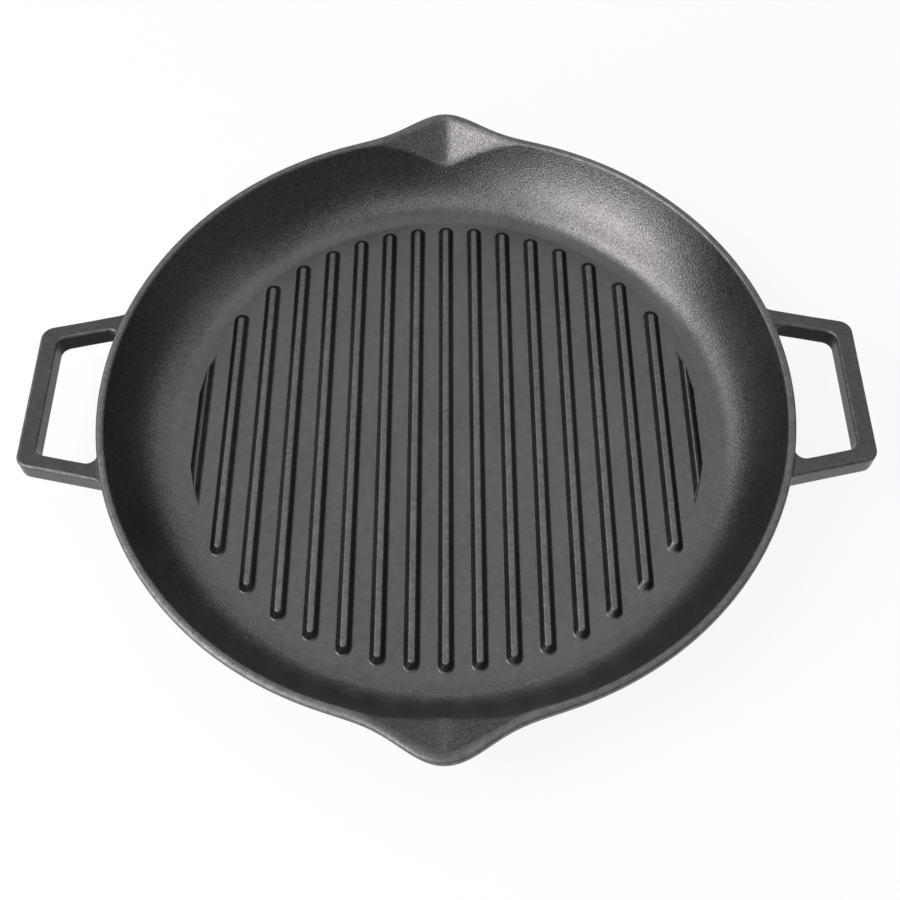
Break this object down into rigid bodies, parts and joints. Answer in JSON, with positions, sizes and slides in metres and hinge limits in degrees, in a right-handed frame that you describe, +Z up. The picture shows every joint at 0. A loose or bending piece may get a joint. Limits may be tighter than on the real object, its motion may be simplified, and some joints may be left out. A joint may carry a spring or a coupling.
{
  "type": "round griddle plate",
  "caption": "Round cast-iron griddle plate: a ribbed flat cooking floor inside a flared wall, with opposite pouring spouts and a loop handle on each side, for a hob or an open fire.",
  "frame": {"origin": "centre of the flat underside, which is also the middle of the bounding box's base", "axes": "+X through the right handle, +Y through the back spout and along the ribs, +Z up out of the dish"},
  "size_m": [0.363, 0.3264, 0.038],
  "materials": {
    "floor_iron": "seasoned, fine sand-cast grain, slightly oily",
    "wall_iron": "seasoned, fine sand-cast grain, slightly oily",
    "spout_iron": "seasoned, fine sand-cast grain, slightly oily",
    "rib_iron": "seasoned, fine sand-cast grain, slightly oily",
    "handle_iron": "seasoned, fine sand-cast grain, slightly oily"
  },
  "bodies": {
    "root": {"cooking_floor": "floor_iron", "left_wall": "wall_iron", "right_wall": "wall_iron", "back_spout": "spout_iron", "front_spout": "spout_iron", "left_handle": "handle_iron", "right_handle": "handle_iron", "left_edge_rib": "rib_iron", "left_rib_7": "rib_iron", "left_rib_6": "rib_iron", "left_rib_5": "rib_iron", "left_rib_4": "rib_iron", "left_rib_3": "rib_iron", "left_rib_2": "rib_iron", "left_rib_1": "rib_iron", "middle_rib": "rib_iron", "right_rib_1": "rib_iron", "right_rib_2": "rib_iron", "right_rib_3": "rib_iron", "right_rib_4": "rib_iron", "right_rib_5": "rib_iron", "right_rib_6": "rib_iron", "right_rib_7": "rib_iron", "right_edge_rib": "rib_iron"}
  },
  "joints": []
}
